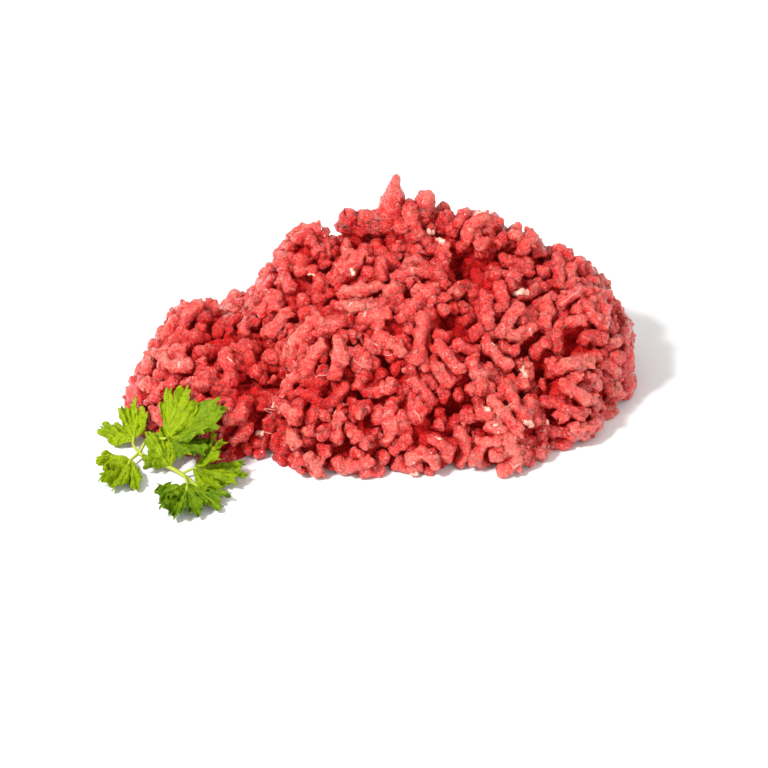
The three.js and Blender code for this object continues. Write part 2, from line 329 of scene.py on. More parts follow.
meatSettings = {
    "colors": {
        "deep": (0.56, 0.006, 0.006, 1),
        "lean": (0.75, 0.025, 0.020, 1),
        "pink": (0.79, 0.132, 0.096, 1),
        "grainPale": (0.84, 0.36, 0.28, 1),
        "grainDark": (0.42, 0.001, 0.002, 1),
        # pale membrane streaks, partly painted glints
        "film": (0.90, 0.46, 0.38, 1),
        # painted shade: deep saturated red low in the gaps, darker still in the pressed holes
        "paintedShadeInGaps": (0.54, 0.004, 0.004, 1),
        "paintedShadeInHoles": (0.38, 0.0006, 0.0006, 1),
    },
    "pattern": {  # scales per metre
        "Mottle Scale": 380.0,
        "Grain Scale": 1200.0,
        "Wrinkle Scale": 800.0,
        "Film Scale": 330.0,
        "Film Share": 0.55,
    },
    "blend": {
        "stops": {"deep": 0.10, "lean": 0.46, "pink": 0.95},
        "middle": 0.26,
        "tone": 0.42,
        "mottle": 2.6,
        "height": (2.5, 0.19, 0.34),  # painted light and shade by height: tops paler pink, lower down deeper red; depth in mm where it is 0, tone for each mm, most
        "grainPale": (0.52, 0.70, 0.34),  # noise from, noise to, strength
        "grainDark": (0.47, 0.30, 0.6),
        "film": (0.022, 0.002),
        "paintedShadeInGaps": (1.6, -1.6, 0.9),  # painted shade by depth: depth from, depth to, strength
        "paintedShadeInHoles": (-1.8, -4.0, 1.0),
        "wetness": (-0.5, 2.4),
        "roughness": (0.20, 0.42),
        "grainHeight": 0.3,
        "filmHeight": 0.12,
    },
    "finish": {
        "Subsurface Weight": 0.6,
        "Subsurface Radius": (1.0, 0.08, 0.06),
        "Subsurface Scale": 0.0032,
        "Coat Roughness": 0.09,
        "Coat IOR": 1.45,
        "Specular IOR Level": 0.25,
    },
    "wrinkleBump": 0.0018,
    "sheenBump": 0.0022,
    "sheenScale": 600.0,
}


def meatTone(group, given, where):
    colors, blend = meatSettings["colors"], meatSettings["blend"]
    mottle = noiseAt(group, where, given["Mottle Scale"], Detail=5.0, Roughness=0.65)
    mottle = math2(group, "MULTIPLY", math2(group, "SUBTRACT", mottle, 0.5), blend["mottle"])
    # painted light and shade: the tone rises towards pale pink higher up and sinks towards deep red lower
    # down
    start, rise, most = blend["height"]
    height = math2(group, "MULTIPLY", math2(group, "SUBTRACT", given["Depth"], start), rise)
    height = math2(group, "MINIMUM", height, most)
    tone = math2(group, "ADD", math2(group, "MULTIPLY", given["Tone"], blend["tone"]), mottle)
    tone = math2(group, "ADD", math2(group, "ADD", tone, height), blend["middle"])
    ramp = addNode(group, "ShaderNodeValToRGB", {"Fac": tone})
    stops = ramp.color_ramp.elements
    stops.new(0.5)
    for stop, (name, place) in zip(stops, blend["stops"].items()):
        stop.position, stop.color = place, colors[name]
    return ramp.outputs[0]


def meatGroup():
    group = bpy.data.node_groups.new("meat surface", "ShaderNodeTree")
    for label, value in {"Tone": 0.5, "Depth": 2.0, **meatSettings["pattern"]}.items():
        group.interface.new_socket(label, in_out="INPUT", socket_type="NodeSocketFloat").default_value = value
    given = group.nodes.new("NodeGroupInput").outputs
    where = addNode(group, "ShaderNodeTexCoord").outputs["Object"]
    colors, blend = meatSettings["colors"], meatSettings["blend"]

    color = meatTone(group, given, where)
    grain = noiseAt(group, where, given["Grain Scale"], Detail=2.0, Roughness=0.6, Distortion=1.1)
    for name in ("grainPale", "grainDark"):
        low, high, strength = blend[name]
        share = math2(group, "MULTIPLY", fade(group, grain, low, high), strength)
        color = mixColors(group, share, color, colors[name])

    # pale membrane streaks, partly painted glints
    film = noiseAt(group, where, given["Film Scale"], Detail=2.0, Roughness=0.55, Distortion=1.6)
    film = fade(group, math2(group, "ABSOLUTE", math2(group, "SUBTRACT", film, 0.5)), *blend["film"])
    color = mixColors(group, math2(group, "MULTIPLY", film, given["Film Share"]), color, colors["film"])
    # painted shade: deeper red low in the gaps and darker in the pressed holes
    for name in ("paintedShadeInGaps", "paintedShadeInHoles"):
        color = mixColors(group, fade(group, given["Depth"], *blend[name]), color, colors[name])

    wrinkle = noiseAt(group, where, given["Wrinkle Scale"], Detail=2.0, Roughness=0.6, Distortion=0.8)
    low, high = blend["roughness"]
    rough = addNode(group, "ShaderNodeMapRange", {
        "Value": wrinkle, "From Min": 0.3, "From Max": 0.7, "To Min": low, "To Max": high,
    }).outputs[0]
    fine = math2(group, "ADD", math2(group, "MULTIPLY", grain, blend["grainHeight"]),
                 math2(group, "MULTIPLY", film, blend["filmHeight"]))
    made = {"Color": color, "Roughness": rough, "Height": math2(group, "ADD", wrinkle, fine),
            "Wetness": fade(group, given["Depth"], *blend["wetness"])}
    for label in made:
        kind = "NodeSocketColor" if label == "Color" else "NodeSocketFloat"
        group.interface.new_socket(label, in_out="OUTPUT", socket_type=kind)
    outputs = group.nodes.new("NodeGroupOutput").inputs
    for label, value in made.items():
        group.links.new(value, outputs[label])
    return group


meatSurface = meatGroup()


def meatMaterial(name, toneShift=0.0):
    material, tree, shader = newMaterial(name, meatSettings["finish"])
    tone = addNode(tree, "ShaderNodeAttribute", attribute_name="tone").outputs["Fac"]
    depth = addNode(tree, "ShaderNodeAttribute", attribute_name="depth").outputs["Fac"]
    where = addNode(tree, "ShaderNodeTexCoord").outputs["Object"]
    surface = tree.nodes.new("ShaderNodeGroup")
    surface.node_tree = meatSurface
    tree.links.new(math2(tree, "ADD", tone, toneShift), surface.inputs["Tone"])
    tree.links.new(depth, surface.inputs["Depth"])
    for label, value in meatSettings["pattern"].items():
        surface.inputs[label].default_value = value
    sheen = noiseAt(tree, where, meatSettings["sheenScale"], Detail=1.0)
    tree.links.new(surface.outputs["Color"], shader["Base Color"])
    tree.links.new(surface.outputs["Roughness"], shader["Roughness"])
    tree.links.new(surface.outputs["Wetness"], shader["Coat Weight"])
    bumped = bumpOf(tree, surface.outputs["Height"], meatSettings["wrinkleBump"])
    tree.links.new(bumped, shader["Normal"])
    tree.links.new(bumpOf(tree, sheen, meatSettings["sheenBump"]), shader["Coat Normal"])
    return material


# Relief that strands and core share: soft lumps with finer ones over them

reliefSizes = {
    "Lump Scale": 210.0, "Lump Height": 0.0040,
    "Bead Scale": 400.0, "Bead Height": 0.0015,
    "Crumble Scale": 900.0, "Crumble Height": 0.0008,
}
beadMiddle = 0.38  # value of the bead pattern at which the surface keeps its place
floorGap = 0.00005  # m


def addRelief(tree, geometry, given, share=1.0):
    where = addNode(tree, "GeometryNodeInputPosition").outputs[0]
    normal = addNode(tree, "GeometryNodeInputNormal").outputs[0]
    lumps = noiseAt(tree, where, given["Lump Scale"], Detail=1.0)
    beads = addNode(tree, "ShaderNodeTexVoronoi", {
        "Vector": where, "Scale": given["Bead Scale"], "Smoothness": 0.4,
    }, feature="SMOOTH_F1").outputs[0]
    crumble = noiseAt(tree, where, given["Crumble Scale"], Detail=1.0)
    rise = 0.0
    for high, low, amount in ((lumps, 0.5, "Lump Height"), (beadMiddle, beads, "Bead Height"),
                              (crumble, 0.5, "Crumble Height")):
        part = math2(tree, "MULTIPLY", math2(tree, "SUBTRACT", high, low), given[amount])
        rise = math2(tree, "ADD", rise, part)
    rise = math2(tree, "MULTIPLY", rise, share)
    offset = addNode(tree, "ShaderNodeVectorMath", {0: normal, "Scale": rise}, operation="SCALE").outputs[0]
    moved = addNode(tree, "GeometryNodeSetPosition", {"Geometry": geometry, "Offset": offset}).outputs[0]
    place = addNode(tree, "ShaderNodeVectorMath", {
        0: where, 1: (-1.0, -1.0, floorGap),  # no lower than the floor
    }, operation="MAXIMUM").outputs[0]
    return addNode(tree, "GeometryNodeSetPosition", {"Geometry": moved, "Position": place}).outputs[0]


# Holes that show well between the strands

shownHoles = {  # two pixels of the photograph, half width in mm
    "besideCrown": ((457, 262), (463, 284), 0.9),
    "middle": ((385, 362), (386, 368), 0.9),
    "underCup": ((363, 396), (365, 402), 0.6),
    "underSlant": ((447, 404), (447, 411), 0.9),
    "foldSlot": ((573, 342), (563, 366), 0.9),
    "foldDip": ((540, 372), (544, 378), 0.6),
    "overFold": ((526, 346), (528, 354), 0.6),
    "twinGap": ((330, 352), (331, 360), 0.6),
    "lowMiddle": ((369, 417), (370, 424), 0.7),
    "frontDip": ((345, 445), (347, 449), 0.6),
    "rightDip": ((446, 320), (450, 328), 0.5),
}
holeShape = {  # mm
    "depth": 3.6,  # that the core is pressed in
    "spread": 1.2,  # that the press reaches around the hole
    "levels": (-1.0, 1.5, 4.0),  # over the heap's form, where the hole is kept clear
}


def resample(points, count):
    points = np.asarray(points, float)
    reach = np.concatenate([[0], np.cumsum(np.linalg.norm(np.diff(points, axis=0), axis=1))])
    wanted = np.linspace(0, reach[-1], count)
    return np.stack([np.interp(wanted, reach, points[:, k]) for k in range(3)], 1)


def asRows(path, radii):
    return np.column_stack([path, np.broadcast_to(radii, len(path))])


def holeRows():
    rows = []
    for *spots, width in shownHoles.values():
        middle = resample(fromPixels(spots, 0.0), 3)
        for level in holeShape["levels"]:
            rows.append(asRows(middle + outward(middle) * level, width))
    return np.vstack(rows)


# The core, seen only between the strands

coreSettings = {"sectors": 300, "rings": 90, "level": -1.2, "tone": 0.2}
coreRelief = {
    "Lump Scale": 190.0, "Lump Height": 0.0048,
    "Bead Scale": 330.0, "Bead Height": 0.0034,
    "Crumble Scale": 800.0, "Crumble Height": 0.0012,
}


def pressHoles(points):
    holes = holeRows()
    away = np.linalg.norm(points[:, None, :] - holes[:, :3], axis=2)
    near = (away / (holes[:, 3] + holeShape["spread"])).min(1)
    return points - outward(points) * (holeShape["depth"] * np.exp(-near**2))[:, None]


def makeCore():
    sectors, rings = coreSettings["sectors"], coreSettings["rings"]
    ring, sector = np.meshgrid(np.arange(rings), np.arange(sectors), indexing="ij")
    turns = (2 * np.pi * sector / sectors).ravel()
    rises = (0.5 * np.pi * ring / rings).ravel()
    rays = np.vstack([domeRays(turns, rises), [[0, 0, 1]]])
    points = pressHoles(alongRays(rays, coreSettings["level"]))
    points = np.vstack([points, [[0, 0, 0]]])
    top, middle = len(points) - 2, len(points) - 1
    faces = []
    for s in range(sectors):
        n = (s + 1) % sectors
        faces.append((middle, n, s))
        for low in range(0, (rings - 1) * sectors, sectors):
            faces.append((low + s, low + n, low + sectors + n, low + sectors + s))
        last = (rings - 1) * sectors
        faces.append((last + s, last + n, top))
    core = newObject("mince_core", points, faces=faces)
    giveAttribute(core, "tone", np.full(len(points), coreSettings["tone"]))
    tree, given, outputs = newGeometryTree("meat core", dict(reliefSizes, Material=None))
    finishTree(tree, outputs, addRelief(tree, given["Geometry"], given), given["Material"])
    runTree(core, tree, dict(coreRelief, Material=meatMaterial("meat core")))
    giveDepth(core)
    return core


# Strands: paths that wander over the heap at their own heights, packed close, swept into knobbly tubes.
# Lengths, radii and levels over the heap's form are in mm, ring spacings in m. A strand is kept where its
# middle line stays far enough from those placed before: more than room on average and more than least at
# its nearest, both as shares of its radius.

strandKinds = {
    "long": {"tries": 1600, "length": (11, 20), "radius": (2.1, 2.6), "levels": (0.4, 1.7), "room": 0.54,
             "least": 0.0, "bend": 0.09, "sides": 16, "spacing": 0.0006, "seed": 11},
    "short": {"tries": 2400, "length": (7, 12), "radius": (2.1, 2.8), "levels": (0.1, 1.6), "room": 0.42,
              "least": -0.1, "bend": 0.13, "sides": 16, "spacing": 0.0006, "seed": 12},
    "stub": {"tries": 5000, "length": (3.4, 7), "radius": (1.9, 2.9), "levels": (-0.3, 1.4), "room": 0.18,
             "least": -0.3, "bend": 0.2, "sides": 16, "spacing": 0.0006, "seed": 13},
    "fill": {"tries": 6000, "length": (4, 8), "radius": (1.9, 2.5), "levels": (-0.8, 0.5), "room": -0.1,
             "least": -0.8, "bend": 0.14, "sides": 12, "spacing": 0.0008, "seed": 16},
    "under": {"tries": 5000, "length": (5, 12), "radius": (2.1, 2.8), "levels": (-1.8, -0.3), "room": 0.15,
              "least": -0.4, "bend": 0.14, "sides": 12, "spacing": 0.0009, "seed": 14},
}
pathSteps = 10
walkSettings = {
    "turned": 0.6,  # how far headings stray from the grain
    "wave": 0.5,  # mm up and down
    "jitter": 0.2,  # radians at each step
    "shownCorners": ((128, 180), (640, 475)),  # pixels of the photograph
    "shownShare": 3,  # one more start between those corners for so many
    "shownWithin": 0.5,  # mm of the heap's form
    "boxMargin": 1.3,  # mm inside the CAD box
    "around": 6.0,  # mm in which other strands are looked for
    "holeClear": 0.8,  # of the radius
    "floorClear": 0.8,
}

# Strands that show well, each by the pixels of the photograph that it runs through

shownStrands = {
    "twinLow": ((329, 341), (306, 377), (288, 398)),
    "twinHigh": ((326, 323), (308, 339), (290, 359)),
    "middleDrop": ((337, 337), (340, 359), (337, 382)),
    "middleCup": ((351, 382), (369, 391), (392, 389), (397, 379)),
    "slant": ((410, 377), (422, 391), (431, 407)),
    "underSlant": ((435, 364), (449, 386)),
    "rightDrop": ((465, 357), (477, 377), (481, 400)),
    "rightDropFoot": ((467, 407), (474, 425)),
    "browBar": ((356, 325), (379, 318), (394, 314)),
    "browBarHigh": ((335, 307), (354, 312), (379, 309)),
    "frontArch": ((477, 461), (488, 439), (506, 437), (515, 457), (499, 468)),
    "frontSmile": ((329, 455), (347, 466), (372, 455)),
    "frontPost": ((333, 414), (333, 443)),
    "frontKnob": ((294, 429), (302, 446)),
    "frontToe": ((308, 448), (319, 471)),
    "shoulderBar": ((343, 296), (361, 294), (382, 287)),
    "lobeDrop": ((222, 358), (227, 374), (227, 390)),
    "lobeKnob": ((245, 376), (259, 372)),
    "lobeBar": ((165, 365), (179, 371), (197, 372)),
    "lobeHook": ((213, 372), (209, 387), (202, 394)),
    "shoulderRim": ((292, 240), (311, 236), (330, 241)),
    "foldSwirl": ((558, 312), (576, 299), (603, 303), (617, 317), (619, 335), (601, 347)),
    "foldCup": ((544, 360), (560, 372), (576, 369), (587, 355)),
    "foldPost": ((560, 321), (555, 342), (558, 360)),
    "foldBar": ((501, 342), (516, 335), (532, 330)),
    "foldDrop": ((526, 363), (521, 378), (519, 394)),
    "toeFold": ((226, 441), (238, 432), (250, 421)),
    "toeCurl": ((247, 444), (262, 436), (270, 424), (262, 414)),
    "valleyStrip": ((246, 392), (263, 399), (281, 410)),
    "valleyBar": ((252, 410), (268, 409), (284, 420)),
    "valleyKnob": ((268, 378), (279, 386)),
    "gapBar": ((304, 384), (318, 381), (331, 386)),
    "gapKnob": ((296, 398), (309, 400), (322, 395)),
    "frontRim": ((284, 404), (294, 413), (306, 417)),
}
shownSettings = {"level": 1.9, "radius": (2.15, 2.5), "sides": 16, "spacing": 0.0006}

standingStrands = {  # root, tip, radius at the root and at the tip, in mm
    "peak": ((2, 14, 49), (4, 13, 71.4), 6.4, 0.35),
    "peakFill": ((6, 12.5, 50), (9.5, 12.5, 62.0), 4.6, 2.8),
    "peakShoulder": ((11, 13, 52), (14, 13, 65.2), 4.2, 2.8),
    "peakSide": ((17, 12, 50), (21, 12, 58.5), 3.0, 1.6),
    "backCurlTop": ((-13, 13, 50), (-10, 14, 58.0), 3.6, 2.6),
    "backCurlSide": ((-8, 13, 50), (-5, 13, 58.5), 3.8, 2.6),
    "browNub": ((41, 12, 44), (43, 12, 54), 2.4, 1.2),
    "rightNub": ((62, 9, 28), (68, 10, 34.5), 2.8, 1.9),
    "leftNub": ((-29, 12, 40), (-36, 13, 43), 3.0, 1.6),
    "crownNub": ((-3, 13, 50), (-2, 13, 59), 3.4, 1.6),
    "leftBackNub": ((-62, 3, 24), (-66, 4, 30.5), 3.0, 1.6),
}
standingSettings = {
    "sway": 0.25,  # mm
    "flare": 0.7,  # power of the widening from tip to root
    "sides": 20,
    "spacing": 0.0006,
    "relief": {
        "Smooth Below": 0.0026,  # radius in m under which the relief fades
        "Lump Height": 0.0024, "Bead Height": 0.0014, "Crumble Height": 0.0010,
    },
}


def grainDirection(points):  # neighbouring strands lie roughly alike, and the lie swirls over the heap
    x, y, z = points.T
    angle = 2.2 * np.sin(x / 17 + 1.3) + 1.9 * np.sin(y / 13 + 2.1 * np.sin(x / 23))
    angle = angle + 1.4 * np.sin(z / 11 + 0.7)
    return np.stack([np.cos(angle), np.sin(angle), np.sin(1.7 * angle)], 1)


def startSpots(count, random):
    golden = math.pi * (3 - math.sqrt(5))
    index = np.arange(count)
    turns = golden * index + random.uniform(0, 0.4, count)
    rises = np.arcsin(np.clip((index + random.uniform(0, 1, count)) / count, 0, 1))
    rays = domeRays(turns, rises)
    around = alongRays(rays, 0.0)
    size = (count // walkSettings["shownShare"], 2)
    shown = fromPixels(random.uniform(*walkSettings["shownCorners"], size), 0.0)
    shown = shown[distanceToForm(shown) < walkSettings["shownWithin"]]
    return random.permutation(np.vstack([around, shown]))[:count]


def walk(kind, random):
    count = kind["tries"]
    spot = startSpots(count, random)
    length = random.uniform(*kind["length"], count)
    along = grainDirection(spot) + walkSettings["turned"] * random.normal(size=(count, 3))
    bend = random.normal(0, kind["bend"], count)
    level = random.uniform(*kind["levels"], count)
    phase = random.uniform(0, 6.3, count)
    points = []
    for step in range(pathSteps + 1):
        out = outward(spot)
        waving = level + walkSettings["wave"] * np.sin(phase + step / 2)
        points.append(spot + out * waving[:, None])
        along = along - out * (along * out).sum(1, keepdims=True)
        along = along / np.linalg.norm(along, axis=1, keepdims=True)
        turn = (bend + random.normal(0, walkSettings["jitter"], count))[:, None]
        along = along * np.cos(turn) + np.cross(out, along) * np.sin(turn)
        spot = atDistance(spot + along * (length / pathSteps)[:, None], 0.0, 1)
    return np.stack(points, 1), random.uniform(*kind["radius"], count)


def hasRoom(path, radius, placed, holes, kind):
    toHoles = np.linalg.norm(path[:, None, :] - holes[:, :3], axis=2)
    if (toHoles < holes[:, 3] + walkSettings["holeClear"] * radius).any():
        return False
    margin = radius + walkSettings["boxMargin"]
    corners = (np.array(cadBox) / mm + [[margin] * 3, [-margin] * 3]) * [[1, 1, 0], [1, 1, 1]]
    if (path < corners[0]).any() or (path > corners[1]).any():
        return False
    low, high = path.min(0) - walkSettings["around"], path.max(0) + walkSettings["around"]
    near = placed[((placed[:, :3] > low) & (placed[:, :3] < high)).all(1)]
    if len(near) == 0:
        return True
    away = np.linalg.norm(path[:, None, :] - near[:, :3], axis=2) - near[:, 3]
    clearance = away.min(1) / radius
    return clearance.mean() > kind["room"] and clearance.min() > kind["least"]


def shownStrandRows(random):
    rows = []
    for spots in shownStrands.values():
        path = atDistance(resample(fromPixels(spots, 0.0), pathSteps + 1), shownSettings["level"], 3)
        rows.append(asRows(path, random.uniform(*shownSettings["radius"])))
    return rows


def standingStrandRows(random):
    rows = []
    for root, tip, rootRadius, tipRadius in standingStrands.values():
        path = resample((root, tip), pathSteps + 1)
        path[1:-1] += random.normal(0, standingSettings["sway"], (pathSteps - 1, 3))
        widening = np.linspace(1, 0, pathSteps + 1) ** standingSettings["flare"]
        rows.append(asRows(path, tipRadius + (rootRadius - tipRadius) * widening))
    return rows


def settleStrands():
    random = np.random.default_rng(7)
    settled = {"shown": shownStrandRows(random), "standing": standingStrandRows(random)}
    placed, holes = np.vstack(settled["shown"] + settled["standing"]), holeRows()
    for name, kind in strandKinds.items():
        paths, radii = walk(kind, np.random.default_rng(kind["seed"]))
        settled[name] = []
        for path, radius in zip(paths, radii):
            path[:, 2] = np.maximum(path[:, 2], walkSettings["floorClear"] * radius)
            if hasRoom(path, radius, placed, holes, kind):
                settled[name].append(asRows(path, radius))
                placed = np.vstack([placed, settled[name][-1]])
        print(name, "strands settled", len(settled[name]))
    return settled


def strandTree():
    sizes = {"Radius": 0.001, "Sides": 12, "Ring Spacing": 0.0011, "Smooth Below": 0.00001, "Material": None}
    tree, given, outputs = newGeometryTree("meat strand", dict(sizes, **reliefSizes))
    curve = addNode(tree, "GeometryNodeMeshToCurve", {"Mesh": given["Geometry"]}).outputs[0]
    smooth = addNode(tree, "GeometryNodeCurveSplineType", {"Curve": curve}, spline_type="CATMULL_ROM")
    curve = addNode(tree, "GeometryNodeResampleCurve", {
        "Curve": smooth.outputs[0], "Length": given["Ring Spacing"],
    }, mode="LENGTH").outputs[0]
    thick = addNode(tree, "GeometryNodeInputNamedAttribute", {"Name": "thick"}, data_type="FLOAT").outputs[0]
    radius = math2(tree, "MULTIPLY", thick, given["Radius"])
    walked = addNode(tree, "GeometryNodeSplineParameter").outputs["Length"]
    whole = addNode(tree, "GeometryNodeSplineLength").outputs["Length"]
    toEnd = math2(tree, "MINIMUM", walked, math2(tree, "SUBTRACT", whole, walked))
    inCap = math2(tree, "SUBTRACT", 1.0, math2(tree, "DIVIDE", toEnd, radius), use_clamp=True)
    rounding = math2(tree, "SUBTRACT", 1.08, math2(tree, "POWER", inCap, 3.0))  # over 1, so ends stay blunt
    curve = addNode(tree, "GeometryNodeSetCurveRadius", {
        "Curve": curve, "Radius": math2(tree, "MULTIPLY", radius, math2(tree, "SQRT", rounding)),
    }).outputs[0]
    ring = addNode(tree, "GeometryNodeCurvePrimitiveCircle", {"Resolution": given["Sides"], "Radius": 1.0})
    tube = addNode(tree, "GeometryNodeCurveToMesh", {
        "Curve": curve, "Profile Curve": ring.outputs[0], "Fill Caps": True,
        "Scale": addNode(tree, "GeometryNodeInputRadius").outputs[0],
    }).outputs[0]
    share = math2(tree, "MINIMUM", math2(tree, "DIVIDE", radius, given["Smooth Below"]), 1.0)
    finishTree(tree, outputs, addRelief(tree, tube, given, share), given["Material"])
    return tree


def strandPiece(name, strands, tree, material, random, settings):
    edges, tone = [], []
    for strand in strands:
        start = len(tone)
        edges += [(start + i, start + i + 1) for i in range(len(strand) - 1)]
        tone += [random.uniform(0, 1)] * len(strand)
    rows = np.vstack(strands)
    piece = newObject(name, rows[:, :3], edges=edges)
    giveAttribute(piece, "thick", rows[:, 3])
    giveAttribute(piece, "tone", tone)
    runTree(piece, tree, {
        **reliefSizes, **settings.get("relief", {}),
        "Sides": settings["sides"], "Ring Spacing": settings["spacing"], "Material": material,
    })
    giveDepth(piece)
    print(name, "triangles", sum(len(p.vertices) - 2 for p in piece.data.polygons))
    return piece


def makeStrands(tree):
    random = np.random.default_rng(5)
    material = meatMaterial("meat strand")
    settled = settleStrands()
    kinds = {"shown": shownSettings, "standing": standingSettings, **strandKinds}
    return [strandPiece("mince_" + name + "_strands", settled[name], tree, material, random, kind)
            for name, kind in kinds.items()]


# Crumbs: small torn bits that cling to the strands

crumbSettings = {
    "Density": 32000.0,  # per square metre
    "Above": 2.2,  # mm out from the clumps
    "Smallest": 0.0006, "Largest": 0.0013,
    "Longer": 1.5, "Flatter": 0.8,
    "Lump Height": 0.0012, "Bead Height": 0.0009, "Crumble Height": 0.0012,
    "Seed": 3,
    "Material": None,
}


def crumbTree():
    tree, given, outputs = newGeometryTree("meat crumbs", {**reliefSizes, **crumbSettings})
    depth = addNode(tree, "GeometryNodeInputNamedAttribute", {"Name": "depth"}, data_type="FLOAT").outputs[0]
    high = addNode(tree, "FunctionNodeCompare", {"A": depth, "B": given["Above"]}, data_type="FLOAT",
                   operation="GREATER_THAN").outputs[0]
    points = addNode(tree, "GeometryNodeDistributePointsOnFaces", {
        "Mesh": given["Geometry"], "Selection": high, "Density": given["Density"], "Seed": given["Seed"],
    }).outputs[0]
    ball = addNode(tree, "GeometryNodeMeshIcoSphere", {"Radius": 1.0, "Subdivisions": 2}).outputs[0]
    size = addNode(tree, "FunctionNodeRandomValue", {
        2: given["Smallest"], 3: given["Largest"], "Seed": given["Seed"],
    }, data_type="FLOAT").outputs[1]
    spin = addNode(tree, "FunctionNodeRandomValue", {
        1: (6.28, 6.28, 6.28), "Seed": 8,
    }, data_type="FLOAT_VECTOR").outputs[0]
    shape = addNode(tree, "ShaderNodeCombineXYZ", {
        "X": size, "Y": math2(tree, "MULTIPLY", size, given["Longer"]),
        "Z": math2(tree, "MULTIPLY", size, given["Flatter"]),
    }).outputs[0]
    bits = addNode(tree, "GeometryNodeInstanceOnPoints", {
        "Points": points, "Instance": ball, "Scale": shape, "Rotation": spin,
    }).outputs[0]
    real = addNode(tree, "GeometryNodeRealizeInstances", {"Geometry": bits}).outputs[0]
    finishTree(tree, outputs, addRelief(tree, real, given), given["Material"])
    return tree


def joined(name, pieces):
    whole = bmesh.new()
    for piece in pieces:
        whole.from_mesh(piece.data)
    obj = newObject(name, np.zeros((0, 3)))
    whole.to_mesh(obj.data)
    whole.free()
    return obj


def makeCrumbs(strands):
    crumbs = joined("mince_crumbs", strands)
    sizes = {**reliefSizes, **crumbSettings, "Material": meatMaterial("meat crumb", 0.1)}
    runTree(crumbs, crumbTree(), sizes)
    print("mince_crumbs triangles", len(crumbs.data.polygons))
    return crumbs


# Fat: pale flecks pressed into the strands, and thin curling threads

fatSettings = {
    "color": (0.80, 0.27, 0.21, 1),
    "paler": (0.84, 0.56, 0.44, 1),
    "film": (0.86, 0.26, 0.21, 1),
    "paleFilm": (0.88, 0.46, 0.38, 1),
    "mottleScale": 700.0,  # per metre
    "finish": {
        "Roughness": 0.35,
        "Subsurface Weight": 0.2,
        "Subsurface Radius": (1.0, 0.5, 0.4),
        "Subsurface Scale": 0.0008,
    },
}
shownFlecks = {  # two pixels of the photograph, half thickness in mm
    "longFleck": ((510, 294), (529, 292), 1.0),
    "peakFleck": ((427, 231), (434, 233), 0.8),
    "crownFleck": ((438, 240), (446, 243), 0.8),
    "shoulderFleck": ((350, 268), (355, 275), 0.8),
    "browFleck": ((396, 366), (402, 373), 1.2),
    "foldFleck": ((521, 366), (527, 378), 0.8),
    "frontFleck": ((524, 420), (534, 425), 1.0),
    "rightFleck": ((482, 407), (490, 411), 0.8),
    "cornerFleck": ((257, 431), (264, 436), 1.0),
}
fleckSettings = {  # lengths, radii and heights in mm
    "lift": 0.35,
    "swell": (0.7, 1, 1.1, 0.9, 1.1, 1, 0.7),  # thickness along a fleck
    "small": {
        "count": 70, "length": (0.8, 2.6), "radius": (0.25, 0.6), "lift": 0.0, "above": 1.8, "seed": 22,
    },
    "sides": 14,
    "spacing": 0.0003,
    "relief": {
        "Lump Scale": 520.0, "Lump Height": 0.0018,
        "Bead Scale": 900.0, "Bead Height": 0.0009,
        "Crumble Scale": 1600.0, "Crumble Height": 0.0006,
    },
}
threadSettings = {
    "count": 200, "length": (2, 7), "radius": (0.07, 0.13), "lift": 0.15, "above": 1.6, "seed": 21,
    "sides": 6, "spacing": 0.0005,
    "relief": {"Lump Height": 0.0004, "Bead Height": 0.0, "Crumble Height": 0.0},
}


def fatMaterial(name, color, paler):
    material, tree, shader = newMaterial(name, fatSettings["finish"])
    where = addNode(tree, "ShaderNodeTexCoord").outputs["Object"]
    noise = noiseAt(tree, where, fatSettings["mottleScale"])
    tree.links.new(mixColors(tree, noise, fatSettings[color], fatSettings[paler]), shader["Base Color"])
    return material


def onSurface(tree, starts, rays):
    spots = []
    for start, ray in zip(starts, rays):
        hit = tree.ray_cast(Vector(start * mm), Vector(ray))[0]
        if hit is not None:
            spots.append(np.array(hit) / mm)
    return np.array(spots)


def laidStrands(surface, settings):
    random = np.random.default_rng(settings["seed"])
    kind = dict(settings, tries=settings["count"], levels=(0.0, 0.0), bend=0.1)
    paths, radii = walk(kind, random)
    rows = []
    for path, radius in zip(paths, radii):
        out = outward(path)
        laid = onSurface(surface, path + out * 8, -out)
        if len(laid) == len(path) and distanceToForm(laid).min() > settings["above"]:
            laid[1:-1] = (laid[:-2] + 2 * laid[1:-1] + laid[2:]) / 4
            laid = laid + out * (settings["lift"] * np.linspace(1, -1, len(path))[:, None] ** 2)
            rows.append(asRows(laid, radius))
    return rows


def shownFleckRows(surface):
    rows = []
    for first, last, radius in shownFlecks.values():
        steps = np.linspace(first, last, len(fleckSettings["swell"]))
        eye, rays = zip(*[pixelRay(*spot) for spot in steps])
        laid = onSurface(surface, eye, rays)
        if len(laid) == len(steps):
            laid[1:-1] = (laid[:-2] + laid[1:-1] + laid[2:]) / 3
            laid = laid - np.array(rays) * fleckSettings["lift"]
            rows.append(asRows(laid, radius * np.array(fleckSettings["swell"])))
    return rows


def makeFat(strands, tree):
    carrier = joined("carrier", strands)
    surface = BVHTree.FromObject(carrier, bpy.context.evaluated_depsgraph_get())
    bpy.data.objects.remove(carrier)
    rows = shownFleckRows(surface) + laidStrands(surface, fleckSettings["small"])
    random = np.random.default_rng(6)
    fat = fatMaterial("meat fat", "color", "paler")
    flecks = strandPiece("mince_fat_flecks", rows, tree, fat, random, fleckSettings)
    film = fatMaterial("meat film", "film", "paleFilm")
    rows = laidStrands(surface, threadSettings)
    threads = strandPiece("mince_threads", rows, tree, film, random, threadSettings)
    return [flecks, threads]


# Parsley: thin stems and curly leaflets, each a fan of three lobes with rounded teeth and a ruffled edge

